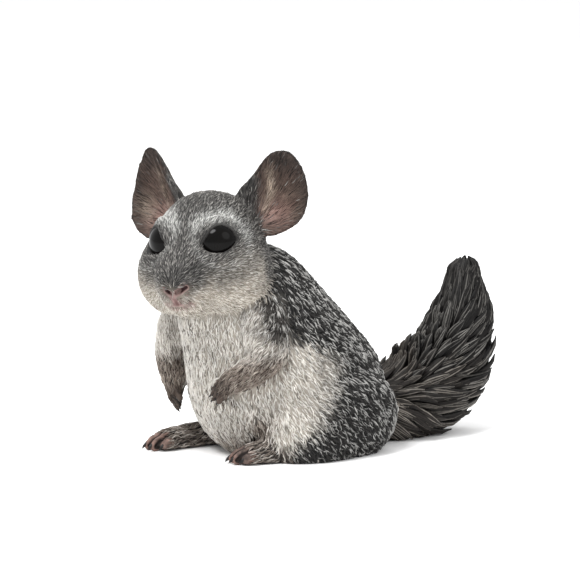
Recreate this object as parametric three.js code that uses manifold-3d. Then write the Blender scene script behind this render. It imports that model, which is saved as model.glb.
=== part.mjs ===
// A chinchilla figure, moulded in solid PVC and painted by hand: the animal sits up on its
// haunches with its head turned to its own left and its bushy tail raised behind it.
// Millimetres, +Z up, the animal faces -Y, so its left side is +X. Origin under the middle.
import * as THREE from "three";
import { LoftGeometry } from "three/addons/geometries/LoftGeometry.js";
import { mergeVertices } from "three/addons/utils/BufferGeometryUtils.js";
import Module from "manifold-3d";

const wasm = await Module();
wasm.setup();

const vec = (x, y, z) => new THREE.Vector3(x, y, z);
const degrees = THREE.MathUtils.degToRad;

// Driving dimensions
const bodyLength = 29.6; // chest to rump at the hips
const bodyWidth = 25.2; // across the hips
const bodyHeight = 31.5; // floor to the withers
const headWidth = 19.8; // across the cheeks
const headYaw = degrees(35); // the head turns to its own left
const headRoll = degrees(-4); // and its right side sinks a little
const headCentre = vec(0.5, -13.7, 30.5);
const eyeSize = vec(2.5, 2.5, 2.2); // radii
const earThickness = 1.0;
const earTurn = degrees(20); // how far an ear's opening faces outwards
const earPose = {
  left: { roll: degrees(4), tall: 1, wide: 1, slim: 0 }, // lean to its side, size, narrowing upwards
  right: { roll: degrees(5), tall: 1.12, wide: 1.11, slim: 0.35 },
};
const tailRows = 8; // rows of sculpted locks along the tail
const gap = 0.3; // between the pieces where they meet

// Solids: closed geometry in, one manifold out, and back again
function solid(geometry) {
  const bare = new THREE.BufferGeometry().copy(geometry);
  bare.deleteAttribute("normal");
  bare.deleteAttribute("uv");
  const merged = mergeVertices(bare, 1e-4);
  return new wasm.Manifold(
    new wasm.Mesh({
      numProp: 3,
      vertProperties: merged.attributes.position.array,
      triVerts: new Uint32Array(merged.index.array),
    }),
  );
}

const volumeOf = (body) => body.volume();

// The largest closed body of a solid, without the scraps that a cut can leave.
function largest(body) {
  return body.decompose().sort((a, b) => volumeOf(b) - volumeOf(a))[0];
}

function geometryOf(body) {
  const mesh = body.getMesh();
  const stride = mesh.numProp;
  const position = new Float32Array(mesh.numVert * 3);
  for (let i = 0; i < mesh.numVert; i++)
    position.set(mesh.vertProperties.subarray(i * stride, i * stride + 3), i * 3);
  return new THREE.BufferGeometry()
    .setAttribute("position", new THREE.BufferAttribute(position, 3))
    .setIndex(new THREE.BufferAttribute(mesh.triVerts, 1));
}

const cutFrom = (body, ...others) => others.reduce((rest, other) => rest.subtract(other), body);
const joined = (...bodies) => bodies.reduce((sum, other) => sum.add(other));

// A blended lump: the surface where several ellipsoids run into one another, found along
// the rays of an icosahedron. A swell above 0 grows it evenly, for a clearance cut.
function ellipsoidDistance(point, lobe) {
  const p = point.clone().sub(lobe.at);
  const near = vec(p.x / lobe.r.x, p.y / lobe.r.y, p.z / lobe.r.z);
  const far = vec(near.x / lobe.r.x, near.y / lobe.r.y, near.z / lobe.r.z);
  const share = near.length();
  return share < 1e-6 ? -Math.min(lobe.r.x, lobe.r.y, lobe.r.z) : (share * (share - 1)) / far.length();
}

function smoothMin(a, b, blend) {
  const h = Math.max(blend - Math.abs(a - b), 0) / blend;
  return Math.min(a, b) - (h * h * blend) / 4;
}

function lump({ centre, lobes, blend, detail }, swell = 0) {
  const reach = 40;
  const nearest = (p) => lobes.reduce((d, part) => smoothMin(d, ellipsoidDistance(p, part), blend), reach);
  const geometry = new THREE.IcosahedronGeometry(1, detail);
  const position = geometry.attributes.position;
  const ray = new THREE.Vector3();
  for (let i = 0; i < position.count; i++) {
    ray.fromBufferAttribute(position, i).normalize();
    let inside = 0;
    let outside = reach;
    while (outside - inside > 1e-5) {
      const middle = (inside + outside) / 2;
      if (nearest(centre.clone().addScaledVector(ray, middle)) < swell) inside = middle;
      else outside = middle;
    }
    ray.multiplyScalar(inside).add(centre);
    position.setXYZ(i, ray.x, ray.y, ray.z);
  }
  return geometry;
}

const lobe = (x, y, z, rx, ry, rz) => ({ at: vec(x, y, z), r: vec(rx, ry, rz) });

// A limb: rounded sections along a curve through the stations. Each station is a point with
// a half-width across and a half-height, and the ends close in a dome.
function limb({ stations, sides = 12, steps = 8, dome = 3, up = vec(0, 0, 1) }, swell = 0) {
  const path = new THREE.CatmullRomCurve3(stations.map((s) => vec(...s.at)), false, "centripetal");
  const halves = stations.map((s) => vec(s.r[0], s.r[1], 0));
  const sizes = new THREE.CatmullRomCurve3(halves, false, "centripetal");
  const domeShares = Array.from({ length: dome + 1 }, (_, i) =>
    Math.sin(((i + 0.35) / (dome + 0.35)) * (Math.PI / 2)),
  );
  const shares = domeShares.map((share) => [0, share]);
  for (let i = 1; i < steps; i++) shares.push([i / steps, 1]);
  for (const share of [...domeShares].reverse()) shares.push([1, share]);
  const sections = shares.map(([t, share], k) => {
    const along = path.getTangent(t).normalize();
    const across = vec(0, 0, 0).crossVectors(along, up).normalize();
    const over = vec(0, 0, 0).crossVectors(across, along).normalize();
    const size = sizes.getPoint(t);
    const [w, h] = [size.x + swell, size.y + swell];
    const end = k <= dome ? -1 : 1;
    const past = share < 1 ? end * Math.min(w, h) * Math.sqrt(1 - share * share) : 0;
    const middle = path.getPoint(t).addScaledVector(along, past);
    return Array.from({ length: sides }, (_, j) => {
      const turn = (j / sides) * 2 * Math.PI;
      return middle
        .clone()
        .addScaledVector(across, Math.cos(turn) * w * share)
        .addScaledVector(over, Math.sin(turn) * h * share);
    });
  });
  return closedLoft(sections);
}

// A loft with both ends capped. Sections that would leave its walls inside out are reversed.
function closedLoft(sections) {
  const middle = vec(0, 0, 0);
  for (const point of sections.flat()) middle.addScaledVector(point, 1 / sections.flat().length);
  const from = (point) => point.clone().sub(middle);
  let space = 0;
  for (let i = 1; i < sections.length; i++)
    sections[i].forEach((point, j) => {
      const before = sections[i - 1];
      const next = (j + 1) % before.length;
      space += from(before[j]).dot(from(before[next]).cross(from(point)));
    });
  const rings = space > 0 ? sections : sections.map((ring) => [...ring].reverse());
  return new LoftGeometry(rings, { capStart: true, capEnd: true });
}

const sideNames = { left: 1, right: -1 };

// The floor that the figure stands on: everything below it is cut away flat.
const floorBlock = solid(new THREE.BoxGeometry(120, 160, 20).translate(0, 0, -10));

// Torso: hips, trunk and chest blended into one pear
const torsoShape = {
  centre: vec(0, -1, 14),
  blend: 4,
  detail: 8,
  lobes: [
    lobe(0, 0.2, 9, bodyWidth / 2, bodyLength / 2, 11.3),
    lobe(0, -3.3, 15.7, 10.8, 12, 10.5),
    lobe(0, -7.2, bodyHeight - 8.9, 9.6, 9.7, 9),
  ],
};

// Head, in its own frame: the face looks along -y from the middle of the skull
const headShape = {
  centre: vec(0, -0.5, -0.5),
  blend: 2.2,
  detail: 8,
  lobes: [
    lobe(0, 1, 1.2, 7.7, 8.4, 7.5),
    lobe(headWidth / 2 - 5.2, -1.3, -2.9, 5.2, 6.5, 6),
    lobe(5.2 - headWidth / 2, -1.3, -2.9, 5.2, 6.5, 6),
    lobe(0, -6.6, -2.8, 4.6, 4.9, 4.5),
    lobe(0, -10.1, -3.7, 2.3, 1.9, 1.9),
    lobe(0, -6.4, -6, 3, 3.6, 2.6),
  ],
};
const headPlace = new THREE.Matrix4()
  .makeRotationZ(headYaw)
  .multiply(new THREE.Matrix4().makeRotationY(headRoll))
  .setPosition(headCentre);
const inHead = (geometry) => geometry.applyMatrix4(headPlace);

// Eyes: flattened balls in the sides of the face
const eyeSpot = vec(4.35, -5.3, 2.1);
const eyeTurn = degrees(38);

function eye(side, swell = 0) {
  const ball = new THREE.SphereGeometry(1, 16, 10).scale(
    eyeSize.x + swell,
    eyeSize.y * 0.8 + swell,
    eyeSize.z + swell,
  );
  return inHead(ball.rotateZ(side * eyeTurn).translate(side * eyeSpot.x, eyeSpot.y, eyeSpot.z));
}

// Nostrils: two slanting slots above the lip, and the split below them that ends in the mouth
function slot(from, to, radius) {
  const way = to.clone().sub(from);
  const turn = new THREE.Quaternion().setFromUnitVectors(vec(0, 1, 0), way.clone().normalize());
  const capsule = new THREE.CapsuleGeometry(radius, way.length(), 2, 6);
  return inHead(capsule.applyQuaternion(turn).translate(...from.clone().lerp(to, 0.5).toArray()));
}

const noseFront = -11.9;
const faceSlots = [
  slot(vec(0.5, noseFront - 0.1, -3.75), vec(1.6, noseFront + 0.7, -3.2), 0.28),
  slot(vec(-0.5, noseFront - 0.1, -3.75), vec(-1.6, noseFront + 0.7, -3.2), 0.28),
  slot(vec(0, noseFront + 0.1, -4.4), vec(0, noseFront + 1.6, -6.1), 0.2),
  slot(vec(0, noseFront + 1.6, -6.1), vec(1.5, noseFront + 2.5, -6.4), 0.2),
  slot(vec(0, noseFront + 1.6, -6.1), vec(-1.5, noseFront + 2.5, -6.4), 0.2),
];

// Ears: shallow cups. The outline is drawn in the ear's own plane, outwards and up from
// the root, and each shell runs from its rim in to the deepest place by the root.
const earRoot = vec(6.3, 2, 5.4);
const earOutline = new THREE.CatmullRomCurve3(
  [
    [-2.2, 2.2],
    [0.5, 5.5],
    [3.0, 8.8],
    [5.4, 9.2],
    [7.3, 7.4],
    [8.5, 3.4],
    [7.7, -0.6],
    [4.9, -2.6],
    [1.8, -3.3],
    [-1.2, -2.2],
  ].map(([out, high]) => vec(out, high, 0)),
  true,
);
const earDeepest = vec(1.8, 0.6, 0);
const earDepth = 2.6;
const earRimCurl = 0.9; // how far the lower rim curls forwards

function ear(name) {
  const side = sideNames[name];
  const { roll, tall, wide, slim } = earPose[name];
  const cup = new THREE.SphereGeometry(1, 24, 12);
  const position = cup.attributes.position;
  for (let i = 0; i < position.count; i++) {
    const ball = new THREE.Vector3().fromBufferAttribute(position, i);
    const share = Math.min(1, Math.hypot(ball.x, ball.z));
    const turn = (1.5 - Math.atan2(ball.z, ball.x) / (2 * Math.PI)) % 1;
    const rim = earOutline.getPoint(turn);
    const spot = earDeepest.clone().lerp(rim, share);
    const low = Math.max(0, 1 - rim.y / 3) / 2;
    const depth = earDepth * (1 - share ** 2) - earRimCurl * low * share ** 4;
    const wall = (Math.sign(ball.y) * earThickness * Math.sqrt(1 - share ** 4)) / 2;
    const narrow = 1 - (slim * Math.max(0, spot.y)) / 9;
    position.setXYZ(i, side * spot.x * wide * narrow, depth + wall, spot.y * tall);
  }
  cup.rotateY(side * roll).rotateZ(side * earTurn);
  cup.translate(side * earRoot.x, earRoot.y, earRoot.z);
  return solid(inHead(side < 0 ? flipped(cup) : cup));
}

// A mirrored geometry with its faces turned back to point outwards.
function flipped(geometry) {
  const order = geometry.index.array;
  for (let i = 0; i < order.length; i += 3) [order[i + 1], order[i + 2]] = [order[i + 2], order[i + 1]];
  return geometry;
}

// Arms: the left forearm reaches forwards, the right arm hangs beside the belly
const arms = {
  left: {
    stations: [
      { at: [7.4, -9.2, 22.5], r: [2.8, 3.2] },
      { at: [9.6, -9.0, 18.5], r: [2.9, 3.1] },
      { at: [9.8, -9.4, 15.2], r: [2.3, 2.5] },
      { at: [8.4, -11.9, 13.2], r: [1.9, 1.8] },
      { at: [7.2, -13.6, 12.1], r: [1.6, 1.4] },
    ],
  },
  right: {
    stations: [
      { at: [-7.0, -12.6, 22.0], r: [3.0, 3.1] },
      { at: [-8.4, -14.2, 18.2], r: [2.6, 2.7] },
      { at: [-8.6, -14.9, 14.2], r: [2.3, 2.3] },
      { at: [-7.7, -15.1, 11.1], r: [1.7, 1.7] },
      { at: [-7.0, -15.3, 9.8], r: [1.45, 1.3] },
    ],
  },
};
const hands = {
  left: { palm: vec(6.5, -14.3, 11.4), reach: vec(-0.55, -0.62, -0.56), over: vec(0.3, -0.75, 0.6) },
  right: { palm: vec(-6.5, -15.6, 8.8), reach: vec(0.5, -0.2, -0.84), over: vec(-0.3, -0.95, 0.1) },
};

// A hand: a flat palm and four short fingers that spread from it.
function hand({ palm, reach, over }, swell = 0) {
  const ahead = reach.clone().normalize();
  const across = vec(0, 0, 0).crossVectors(over, ahead).normalize();
  const spot = (along, aside, under) =>
    palm
      .clone()
      .addScaledVector(ahead, along)
      .addScaledVector(across, aside)
      .addScaledVector(over, -under);
  const pieces = [
    limb({
      stations: [
        { at: spot(-0.9, 0, 0).toArray(), r: [1.25, 0.95] },
        { at: spot(0.7, 0, 0.1).toArray(), r: [1.45, 0.85] },
      ],
      up: over,
      steps: 2,
      sides: 10,
      dome: 2,
    }, swell),
  ];
  for (let i = 0; i < 4; i++) {
    const aside = (i - 1.5) * 0.78;
    const long = i === 0 || i === 3 ? 1.7 : 2.3;
    pieces.push(
      limb({
        stations: [
          { at: spot(0.6, aside, 0.1).toArray(), r: [0.44, 0.42] },
          { at: spot(long, aside * 1.3, 0.5).toArray(), r: [0.36, 0.36] },
        ],
        up: over,
        steps: 1,
        sides: 6,
        dome: 1,
      }, swell),
    );
  }
  return joined(...pieces.map(solid));
}

// Haunches: the folded thighs that bulge from the sides of the hips
const thighShape = (side) => ({
  centre: vec(side * 8, 2.5, 6.5),
  blend: 3,
  detail: 5,
  lobes: [lobe(side * 8.4, 3.4, 5.8, 5.4, 10.2, 7.6), lobe(side * 9.2, -2, 3.9, 4.9, 6.6, 6.2)],
});

// Feet: long soles flat on the floor with three broad toes and a small one
const feet = {
  left: { heel: vec(10.7, -0.8, 0), ball: vec(8.2, -10.6, 0), top: 3.5 },
  right: { heel: vec(-8.5, -5.4, 0), ball: vec(-7.9, -16.3, 0), top: 3.3 },
};

function foot({ heel, ball, top }, swell = 0) {
  const ahead = ball.clone().sub(heel).setZ(0).normalize();
  const across = vec(-ahead.y, ahead.x, 0);
  const spot = (along, aside, high) =>
    vec(ball.x, ball.y, high).addScaledVector(ahead, along).addScaledVector(across, aside);
  const pieces = [
    limb({
      stations: [
        { at: [heel.x, heel.y, top / 2], r: [2.2, top / 2] },
        { at: spot(-5, 0, top / 2 - 0.1).toArray(), r: [2.1, top / 2] },
        { at: spot(0.2, 0, 1.25).toArray(), r: [2.0, 1.45] },
      ],
      steps: 6,
      sides: 12,
    }, swell),
  ];
  const toes = [
    [-1.55, 1.8, 0.72],
    [-0.5, 2.7, 0.88],
    [0.75, 2.5, 0.88],
    [1.7, 1.3, 0.62],
  ];
  for (const [aside, long, thick] of toes)
    pieces.push(
      limb({
        stations: [
          { at: spot(-0.8, aside * 0.85, 1.3).toArray(), r: [thick, thick] },
          { at: spot(long * 0.55, aside * 1.05, 1.25).toArray(), r: [thick * 1.04, thick * 1.1] },
          { at: spot(long, aside * 1.1, 0.75).toArray(), r: [thick * 0.75, thick * 0.75] },
        ],
        steps: 3,
        sides: 8,
        dome: 2,
      }, swell),
    );
  return joined(...pieces.map(solid));
}

// Tail: a core along the tail's bone, and rows of locks that reach out to its brush
const tailSpine = new THREE.CatmullRomCurve3([
  vec(0, 11.5, 5),
  vec(0, 18, 5),
  vec(0, 24, 6.8),
  vec(0.3, 28.2, 11.8),
  vec(0.5, 30.4, 17.8),
  vec(0.6, 31.2, 25.5),
]);
// Half the brush's size at points spread along the spine: in the plane of its bend, and across.
const tailBrush = new THREE.SplineCurve([
  new THREE.Vector2(4.6, 5.6),
  new THREE.Vector2(6.0, 7),
  new THREE.Vector2(7.9, 6.8),
  new THREE.Vector2(7.1, 5.8),
  new THREE.Vector2(5.2, 4.6),
  new THREE.Vector2(1, 1),
]);
const tailCoreShare = 0.5; // of the way from the spine out to the brush's edge
const lockRoot = 0.3; // the same measure, for the sunken roots of the locks

function tailFrame(t) {
  const along = tailSpine.getTangentAt(t).normalize();
  const aside = vec(1, 0, 0);
  const outer = vec(0, 0, 0).crossVectors(aside, along).negate().normalize();
  const brush = tailBrush.getPoint(t);
  return { at: tailSpine.getPointAt(t), along, aside, outer, deep: brush.x, wide: brush.y };
}

// A seeded draw, so that the locks vary the same way each time.
let seed = 7;
function draw() {
  seed = (seed * 16807) % 2147483647;
  return seed / 2147483647;
}

// One lock: a flat, tapered, curved strip from a sunken root to a pointed tip. It leaves
// the core outwards and bends over to lie along the tail.
function lock(root, out, along, rise, run, width, thick) {
  const spine = new THREE.QuadraticBezierCurve3(
    root,
    root.clone().addScaledVector(out, rise * 0.8).addScaledVector(along, run * 0.3),
    root.clone().addScaledVector(out, rise).addScaledVector(along, run),
  );
  const side = vec(0, 0, 0).crossVectors(along, out).normalize();
  const tapers = [0.75, 1, 0.8, 0.12];
  const sections = tapers.map((taper, i) => {
    const t = i / (tapers.length - 1);
    const way = spine.getTangent(t).normalize();
    const face = vec(0, 0, 0).crossVectors(way, side).normalize();
    const middle = spine.getPoint(t);
    const corner = (u, v) =>
      middle
        .clone()
        .addScaledVector(side, (u * width * taper) / 2)
        .addScaledVector(face, (v * thick * Math.max(taper, 0.3)) / 2);
    return [corner(1, 0), corner(0, 1), corner(-1, 0), corner(0, -1)];
  });
  return closedLoft(sections);
}

function tail() {
  const sides = 10;
  const rings = 10;
  const core = [];
  for (let i = 0; i <= rings; i++) {
    const { at, aside, outer, deep, wide } = tailFrame(i / rings);
    const share = THREE.MathUtils.lerp(0.85, tailCoreShare, Math.min(1, (3 * i) / rings));
    core.push(
      Array.from({ length: sides }, (_, j) => {
        const turn = (j / sides) * 2 * Math.PI;
        return at
          .clone()
          .addScaledVector(outer, Math.cos(turn) * deep * share)
          .addScaledVector(aside, Math.sin(turn) * wide * share);
      }),
    );
  }
  const pieces = [solid(closedLoft(core))];
  for (let row = 0; row < tailRows; row++) {
    const t = 0.04 + (row / (tailRows - 1)) * 0.78;
    const around = row < 2 || row > tailRows - 3 ? 6 : 8;
    const { at, along, aside, outer, deep, wide } = tailFrame(t);
    const tip = tailFrame(Math.min(1, t + 0.13));
    for (let k = 0; k < around; k++) {
      const turn = ((k + (row % 2) / 2) / around) * 2 * Math.PI;
      const [cos, sin] = [Math.cos(turn), Math.sin(turn)];
      const out = vec(0, 0, 0).addScaledVector(outer, cos / deep).addScaledVector(aside, sin / wide);
      const radius = Math.hypot(cos * deep, sin * wide);
      const rooted = vec(0, 0, 0).addScaledVector(outer, cos * deep).addScaledVector(aside, sin * wide);
      const root = at.clone().addScaledVector(rooted, lockRoot);
      const reach = Math.hypot(cos * tip.deep, sin * tip.wide) * (0.9 + 0.12 * draw());
      const rise = Math.max(0.6, reach - lockRoot * radius);
      const run = 6.4 + 2 * draw();
      const width = (radius * 5.6) / around + 0.6 * draw();
      pieces.push(solid(lock(root, out.normalize(), along, rise, run, width, 1.9)));
    }
  }
  return joined(...pieces);
}

// The figure: every piece is cut clear of what it grows from
const bothSides = Object.entries(sideNames);
const headBall = (swell) => solid(inHead(lump(headShape, swell)));
const thigh = (side, swell) => solid(lump(thighShape(side), swell));
const arm = (name, swell) => solid(limb({ ...arms[name], up: vec(0, -1, 0) }, swell));

const torso = cutFrom(
  solid(lump(torsoShape)),
  headBall(gap),
  ...bothSides.map(([, side]) => thigh(side, gap)),
  ...bothSides.map(([name]) => arm(name, gap)),
  ...bothSides.map(([name]) => foot(feet[name], gap)),
  ...bothSides.map(([name]) => hand(hands[name], gap)),
  floorBlock,
);
const head = cutFrom(
  headBall(0),
  ...bothSides.map(([, side]) => solid(eye(side, gap))),
  ...faceSlots.map(solid),
);

const paint = {
  greyCoat: new THREE.MeshStandardMaterial({ color: 0x6e6b68, roughness: 0.72, metalness: 0 }),
  paleCoat: new THREE.MeshStandardMaterial({ color: 0xb3aca3, roughness: 0.75, metalness: 0 }),
  faceCoat: new THREE.MeshStandardMaterial({ color: 0x7f7b78, roughness: 0.7, metalness: 0 }),
  earSkin: new THREE.MeshStandardMaterial({ color: 0x5c4a44, roughness: 0.6, metalness: 0 }),
  eyeBlack: new THREE.MeshStandardMaterial({ color: 0x0c0b0b, roughness: 0.15, metalness: 0 }),
  footFur: new THREE.MeshStandardMaterial({ color: 0x4d4541, roughness: 0.75, metalness: 0 }),
  tailFur: new THREE.MeshStandardMaterial({ color: 0x2e2a28, roughness: 0.7, metalness: 0 }),
};

const figure = new THREE.Group();

function piece(name, body, material) {
  const mesh = new THREE.Mesh(geometryOf(largest(body)), material);
  mesh.name = name;
  figure.add(mesh);
}

piece("torso", torso, paint.paleCoat);
piece("head", head, paint.faceCoat);
piece(
  "tail",
  cutFrom(tail(), solid(lump(torsoShape, gap)), thigh(1, gap), thigh(-1, gap), floorBlock),
  paint.tailFur,
);
for (const [name, side] of bothSides) {
  piece(`ear_${name}`, cutFrom(ear(name), headBall(gap)), paint.earSkin);
  piece(`eye_${name}`, solid(eye(side)), paint.eyeBlack);
  piece(`arm_${name}`, cutFrom(arm(name, 0), headBall(gap)), paint.greyCoat);
  piece(`hand_${name}`, cutFrom(hand(hands[name]), arm(name, gap)), paint.footFur);
  piece(`thigh_${name}`, cutFrom(thigh(side, 0), arm(name, gap), floorBlock), paint.paleCoat);
  piece(`foot_${name}`, cutFrom(foot(feet[name]), thigh(side, gap), floorBlock), paint.footFur);
}

// The origin sits on the floor under the middle of the whole figure.
const extent = new THREE.Box3().setFromObject(figure);
const middle = extent.getCenter(vec(0, 0, 0));
figure.position.set(-middle.x, -middle.y, -extent.min.z);

export default figure;
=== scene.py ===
from math import cos, pi, radians, sin
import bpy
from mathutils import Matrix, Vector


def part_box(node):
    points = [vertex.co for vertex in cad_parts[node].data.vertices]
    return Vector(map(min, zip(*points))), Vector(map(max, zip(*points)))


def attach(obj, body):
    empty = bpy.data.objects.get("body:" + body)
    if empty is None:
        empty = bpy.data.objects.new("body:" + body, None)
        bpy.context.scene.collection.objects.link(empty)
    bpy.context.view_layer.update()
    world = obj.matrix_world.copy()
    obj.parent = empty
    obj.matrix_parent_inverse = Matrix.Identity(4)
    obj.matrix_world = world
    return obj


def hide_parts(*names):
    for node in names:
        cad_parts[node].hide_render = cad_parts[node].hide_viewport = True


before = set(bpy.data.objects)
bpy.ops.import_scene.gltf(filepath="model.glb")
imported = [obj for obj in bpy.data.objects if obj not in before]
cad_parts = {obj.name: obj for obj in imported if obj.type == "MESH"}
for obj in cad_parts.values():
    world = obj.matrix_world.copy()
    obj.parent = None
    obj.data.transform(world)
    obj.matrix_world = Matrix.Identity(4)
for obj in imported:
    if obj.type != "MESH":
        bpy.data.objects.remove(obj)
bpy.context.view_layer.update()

from types import SimpleNamespace

import bpy
import numpy as np
from mathutils import Matrix, Vector, kdtree

mm = 0.001
floorGap = 0.02  # the lowest points stay this far above the floor
patch = 0.003  # size of a stroke's own place on the unwrap
bothSides = ("left", "right")
rng = np.random.default_rng(21)


def say(text):
    print("chinchilla figure:", text)


# Small helpers; vectors and points are held as rows
def unit(rows):
    return rows / np.maximum(np.linalg.norm(rows, axis=-1, keepdims=True), 1e-12)


def smoothStep(low, high, value):
    t = np.clip((np.asarray(value, float) - low) / (high - low), 0, 1)
    return t * t * (3 - 2 * t)


def alongSurface(directions, normals):
    return unit(directions - normals * np.sum(directions * normals, axis=1, keepdims=True))


def noiseAt(points, size, seed):
    # soft value noise from a few sine waves at odd angles
    waves = np.random.default_rng(seed).normal(size=(7, 3))
    phases = np.random.default_rng(seed + 1).uniform(0, 2 * pi, 7)
    return np.sin(points @ (waves.T / size) + phases).sum(axis=1) / 3.7


# Places that the frame gives, in millimetres
def centreOf(name):
    low, high = (np.array(corner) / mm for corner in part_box(name))
    return (low + high) / 2


eyeLeftAt = centreOf("eye_left")
eyeRightAt = centreOf("eye_right")
headSide = unit(eyeLeftAt - eyeRightAt)  # points to the animal's left
headFront = unit(np.array([headSide[1], -headSide[0], 0.0]))
headUp = np.cross(headFront, headSide)
headMiddle = (eyeLeftAt + eyeRightAt) / 2 - headFront * 5.3 - headUp * 2.1
bodyMiddle = headMiddle - np.array([0.5, -13.7, 30.5])  # on the floor under the body's own middle
bodyMiddle[2] = 0


def inHead(side, front, up):
    return headMiddle + headSide * side + headFront * front + headUp * up


def headPlaces(points):
    away = points - headMiddle
    return np.stack([away @ headSide, away @ headFront, away @ headUp], axis=1)


# Objects
def selectOnly(*objects):
    bpy.ops.object.select_all(action="DESELECT")
    for each in objects:
        each.select_set(True)
    bpy.context.view_layer.objects.active = objects[0]


def readAll(items, what, width, kind=np.float32):
    values = np.empty(len(items) * width, kind)
    items.foreach_get(what, values)
    return values.reshape(-1, width)


def placesOf(obj):
    return readAll(obj.data.vertices, "co", 3).astype(float) / mm


def setPlaces(obj, places):
    obj.data.vertices.foreach_set("co", (places * mm).astype(np.float32).ravel())
    obj.data.update()


def normalsOf(obj):
    return readAll(obj.data.vertex_normals, "vector", 3).astype(float)


def trianglesOf(obj):
    obj.data.calc_loop_triangles()
    return readAll(obj.data.loop_triangles, "vertices", 3, np.int32)


def cornersOf(obj):
    return readAll(obj.data.loops, "vertex_index", 1, np.int32)[:, 0]


def meshObject(name, places, faces):
    mesh = bpy.data.meshes.new(name)
    mesh.from_pydata((places * mm).tolist(), [], faces)
    mesh.polygons.foreach_set("use_smooth", [True] * len(mesh.polygons))
    mesh.update()
    obj = bpy.data.objects.new(name, mesh)
    bpy.context.scene.collection.objects.link(obj)
    return obj


def addModifier(obj, kind, **settings):
    modifier = obj.modifiers.new(kind.lower(), kind)
    for key, value in settings.items():
        setattr(modifier, key, value)
    selectOnly(obj)
    bpy.ops.object.modifier_apply(modifier=modifier.name)


# The tail's line, in the same frame as the body
tailLine = {
    "points": [(0, 11.5, 5), (0, 18, 5), (0, 24, 6.8), (0.3, 28.8, 11.8), (0.5, 30.8, 17.8),
               (0.6, 31.2, 24.6)],
    "deep": [4.6, 6.0, 7.7, 7.2, 5.2, 2.4],  # half the brush in the plane of its bend
    "wide": [5.6, 7.0, 6.8, 5.8, 4.8, 2.3],  # and across it
    "cap": 2.8,  # how far the rounded tip reaches past the end of the line
    "coreShare": 0.6,
}


def throughPoints(values, shares):
    # a smooth curve through evenly spread values
    values = np.asarray(values, float)
    count = len(values) - 1
    at = np.clip(np.asarray(shares, float), 0, 1) * count
    i = np.minimum(at.astype(int), count - 1)
    t = at - i
    if values.ndim > 1:
        t = t[:, None]
    before, after = values[np.maximum(i - 1, 0)], values[np.minimum(i + 2, count)]
    a, b = values[i], values[i + 1]
    return 0.5 * (
        2 * a + (b - before) * t + (2 * before - 5 * a + 4 * b - after) * t**2
        + (3 * a - before - 3 * b + after) * t**3
    )


tailSamples = throughPoints(tailLine["points"], np.linspace(0, 1, 400)) + bodyMiddle
tailSteps = np.concatenate([[0], np.cumsum(np.linalg.norm(np.diff(tailSamples, axis=0), axis=1))])
tailLength = tailSteps[-1]


def tailAt(distances):
    return np.stack([np.interp(distances, tailSteps, tailSamples[:, k]) for k in range(3)], axis=1)


def tailFrame(shares):
    # the tail's place, direction, side and outer side at shares of its length, and half its size there
    shares = np.clip(np.asarray(shares, float), 0, 1)
    gone, step = shares * tailLength, 0.4
    along = unit(tailAt(np.minimum(gone + step, tailLength)) - tailAt(np.maximum(gone - step, 0)))
    aside = np.tile([1.0, 0.0, 0.0], (len(along), 1))
    outer = unit(-np.cross(aside, along))
    deep, wide = (throughPoints(tailLine[key], shares) for key in ("deep", "wide"))
    return tailAt(gone), along, aside, outer, deep, wide


def onTail(shares, turns, reach):
    # points at a turn round the tail, 0 being its outer side, and a share of the way to its edge
    at, along, aside, outer, deep, wide = tailFrame(shares)
    past = np.clip((np.asarray(shares) - 1) * tailLength / tailLine["cap"], 0, 1)
    reach = reach * (1 - 0.98 * past**1.6) ** 0.8
    spread = outer * (np.cos(turns) * deep * reach)[:, None]
    spread = spread + aside * (np.sin(turns) * wide * reach)[:, None]
    return at + along * (past * tailLine["cap"])[:, None] + spread


# Eyes: beads with lids that leave a rounded, flat-bottomed opening
eyePlan = {
    "turn": radians(38),  # how far a bead faces to its side
    "radii": (2.75, 1.95, 2.6),  # along the lids, out of the socket, up
    "shift": (0.3, -0.1, 0.0),  # from the solid's place, in the same order
    "opening": [(-2.45, -0.6), (-2.05, 0.55), (-0.95, 1.8), (0.35, 2.12), (1.6, 1.4), (2.25, 0.0),
                (2.45, -1.05), (1.85, -1.95), (0.2, -2.05), (-1.6, -1.8), (-2.25, -1.25)],
    "lid": 0.3,  # thickness of the rolled edge
    "lidRows": [(0.28, 0.04), (0.65, 0.1), (1.0, 0.05), (1.35, -0.25)],  # outwards, and above the bead
}


def eyeAxes(side):
    # the bead's middle, its way back along the lids, its way out and up
    hand = 1 if side == "left" else -1
    out = unit(headFront * cos(eyePlan["turn"]) + headSide * hand * sin(eyePlan["turn"]))
    back = unit(np.cross(headUp, out) * hand)
    a, b, c = eyePlan["shift"]
    return centreOf(f"eye_{side}") + back * a + out * b + headUp * c, back, out, headUp


def lidLine(side, count, grow=0.0, lift=0.0):
    # points along the edge of the opening, on the bead
    middle, back, out, up = eyeAxes(side)
    turns = np.linspace(0, 1, count, endpoint=False)
    edge = np.array(eyePlan["opening"])
    around = np.concatenate([edge, edge, edge])
    spots = throughPoints(around, (turns * len(edge) + len(edge)) / (len(around) - 1))
    spots = spots * (1 + grow / np.linalg.norm(spots, axis=1, keepdims=True))
    wide, deep, tall = eyePlan["radii"]
    inside = np.clip(1 - (spots[:, 0] / wide) ** 2 - (spots[:, 1] / tall) ** 2, 0, 1)
    height = deep * np.sqrt(inside) + lift
    return middle + spots[:, :1] * back + spots[:, 1:] * up + height[:, None] * out


def wallFaces(rings, sides, around=False):
    # quads between rings of points, and from the last ring to the first where they go around
    faces = []
    for i in range(rings if around else rings - 1):
        for j in range(sides):
            k, n = (i + 1) % rings, (j + 1) % sides
            faces.append([i * sides + j, k * sides + j, k * sides + n, i * sides + n])
    return faces


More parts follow.
